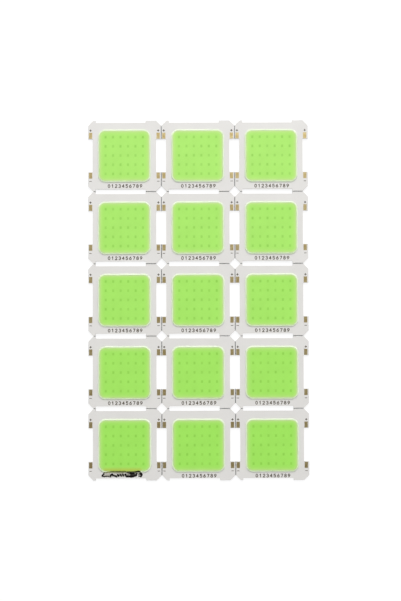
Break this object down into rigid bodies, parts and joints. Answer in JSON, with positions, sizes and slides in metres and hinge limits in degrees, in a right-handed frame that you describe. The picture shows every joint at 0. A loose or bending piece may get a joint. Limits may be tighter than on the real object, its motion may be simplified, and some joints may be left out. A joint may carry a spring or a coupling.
{
  "type": "cob led panel",
  "caption": "Flat scored aluminium sheet of square cob led units, each with a rounded green phosphor field inside a white silicone dam and gold solder pads at its sides.",
  "frame": {"origin": "middle of the underside of the sheet", "axes": "+Z away from the back, the side that gives light; +Y along the columns of units, towards their positive pads; +X across the columns"},
  "size_m": [0.099, 0.1618, 0.0018],
  "materials": {
    "aluminium": "rolled sheet, with bright punched edges and scored lines",
    "dielectric": "thin ceramic filled resin, seen only as a line at the edges",
    "copper": "copper foil under the solder mask",
    "solder_mask": "white, semi-gloss",
    "gold_plating": "thin gold plating, satin",
    "solder": "reflowed tin solder",
    "black_ink": "dry black ink, of the marker pen and of the print",
    "dam_silicone": "white silicone bead, satin",
    "phosphor_silicone": "yellow-green phosphor in clear silicone, smooth satin surface",
    "led_chip": "polished crystal"
  },
  "bodies": {
    "root": {"base_plate": "aluminium", "dielectric": "dielectric", "copper_anode": "copper", "copper_cathode": "copper", "solder_mask": "solder_mask", "pad_plating": "gold_plating", "solder_joints": "solder", "reject_mark": "black_ink", "dam_row1_col1": "dam_silicone", "dam_row1_col2": "dam_silicone", "dam_row1_col3": "dam_silicone", "dam_row2_col1": "dam_silicone", "dam_row2_col2": "dam_silicone", "dam_row2_col3": "dam_silicone", "dam_row3_col1": "dam_silicone", "dam_row3_col2": "dam_silicone", "dam_row3_col3": "dam_silicone", "dam_row4_col1": "dam_silicone", "dam_row4_col2": "dam_silicone", "dam_row4_col3": "dam_silicone", "dam_row5_col1": "dam_silicone", "dam_row5_col2": "dam_silicone", "dam_row5_col3": "dam_silicone", "phosphor_row1_col1": "phosphor_silicone", "phosphor_row1_col2": "phosphor_silicone", "phosphor_row1_col3": "phosphor_silicone", "phosphor_row2_col1": "phosphor_silicone", "phosphor_row2_col2": "phosphor_silicone", "phosphor_row2_col3": "phosphor_silicone", "phosphor_row3_col1": "phosphor_silicone", "phosphor_row3_col2": "phosphor_silicone", "phosphor_row3_col3": "phosphor_silicone", "phosphor_row4_col1": "phosphor_silicone", "phosphor_row4_col2": "phosphor_silicone", "phosphor_row4_col3": "phosphor_silicone", "phosphor_row5_col1": "phosphor_silicone", "phosphor_row5_col2": "phosphor_silicone", "phosphor_row5_col3": "phosphor_silicone", "chips_row1_col1": "led_chip", "chips_row1_col2": "led_chip", "chips_row1_col3": "led_chip", "chips_row2_col1": "led_chip", "chips_row2_col2": "led_chip", "chips_row2_col3": "led_chip", "chips_row3_col1": "led_chip", "chips_row3_col2": "led_chip", "chips_row3_col3": "led_chip", "chips_row4_col1": "led_chip", "chips_row4_col2": "led_chip", "chips_row4_col3": "led_chip", "chips_row5_col1": "led_chip", "chips_row5_col2": "led_chip", "chips_row5_col3": "led_chip"}
  },
  "joints": []
}
